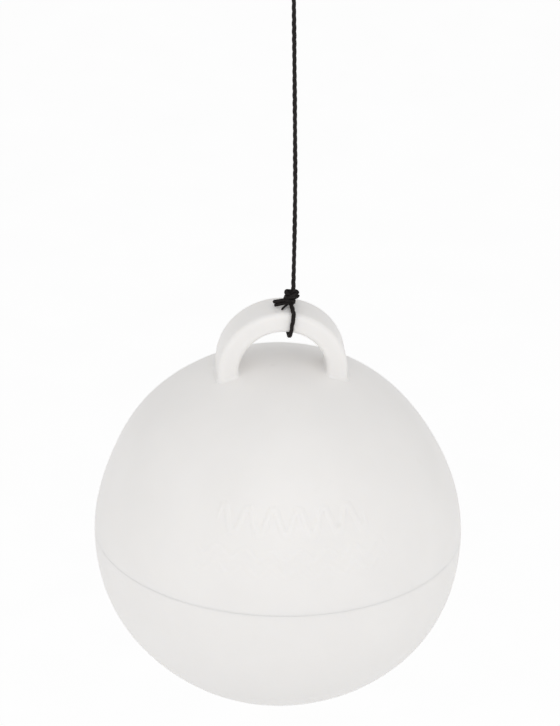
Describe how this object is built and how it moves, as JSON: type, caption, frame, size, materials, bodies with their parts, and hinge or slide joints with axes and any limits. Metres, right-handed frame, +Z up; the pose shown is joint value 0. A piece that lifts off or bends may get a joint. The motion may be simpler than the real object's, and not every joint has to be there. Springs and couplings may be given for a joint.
{
  "type": "floating pool light",
  "caption": "Milky plastic ball light that floats with its moulded loop upwards or hangs from a cord, with a twist-out light unit in its base.",
  "frame": {"origin": "crown of the hanging eye: the middle of the underside of the loop's top, where a hook or a cord bears", "axes": "+Z up along the ball's axis, +X across the loop, +Y through the eye; the embossed front faces -Y"},
  "size_m": [0.08, 0.08, 0.176],
  "materials": {
    "globe": "satin milky polyethylene",
    "base": "satin moulded ABS",
    "seal": "matte silicone",
    "button": "satin moulded ABS",
    "switch": "satin nylon",
    "plunger": "satin nylon",
    "board": "satin solder resist on glass epoxy",
    "led_board": "satin white solder resist",
    "steel": "zinc plated",
    "chip": "matte epoxy",
    "tray": "satin moulded ABS",
    "cell": "nickel plated",
    "contact": "sprung, plated",
    "led": "satin package with clear resin",
    "lead": "PVC insulation",
    "lens": "frosted polycarbonate",
    "cord": "twisted polyester"
  },
  "bodies": {
    "cord": {"hang_cord": "cord", "cord_sling": "cord", "cord_knot": "cord", "cord_tails": "cord", "end_loop": "cord", "end_knot": "cord"},
    "globe": {"globe_top": "globe", "globe_bottom": "globe"},
    "light_unit": {"base_housing": "base", "base_seal": "seal", "button_boot": "seal", "boot_clamp": "base", "push_switch": "switch", "control_board": "board", "board_screws": "steel", "control_chip": "chip", "remote_receiver": "chip", "ballast_ring": "steel", "battery_tray": "tray", "cell_lower": "cell", "cell_upper": "cell", "contact_negative": "contact", "contact_positive": "contact", "led_board": "led_board", "leds": "led", "led_leads": "lead", "reflector": "tray", "lens_seal": "seal", "lens": "lens"},
    "button": {"power_button": "button", "switch_plunger": "plunger"},
    "lens_lock": {"lens_ring": "base"}
  },
  "joints": [
    {"name": "globe_swing", "type": "hinge", "parent": "cord", "child": "globe", "pos_m": [0, 0, -0.0094], "axis": [0, 1, 0], "range_deg": [-45, 45]},
    {"name": "unit_twist", "type": "hinge", "parent": "globe", "child": "light_unit", "pos_m": [0, 0, -0.0808], "axis": [0, 0, -1], "range_deg": [0, 60]},
    {"name": "button_press", "type": "slide", "parent": "light_unit", "child": "button", "axis": [0, 0, 1], "range_m": [0, 0.0012], "stiffness_N_per_m": 1200, "deforming": ["button_boot"]},
    {"name": "lens_ring_twist", "type": "hinge", "parent": "light_unit", "child": "lens_lock", "pos_m": [0, 0, -0.0608], "axis": [0, 0, 1], "range_deg": [0, 60]}
  ]
}
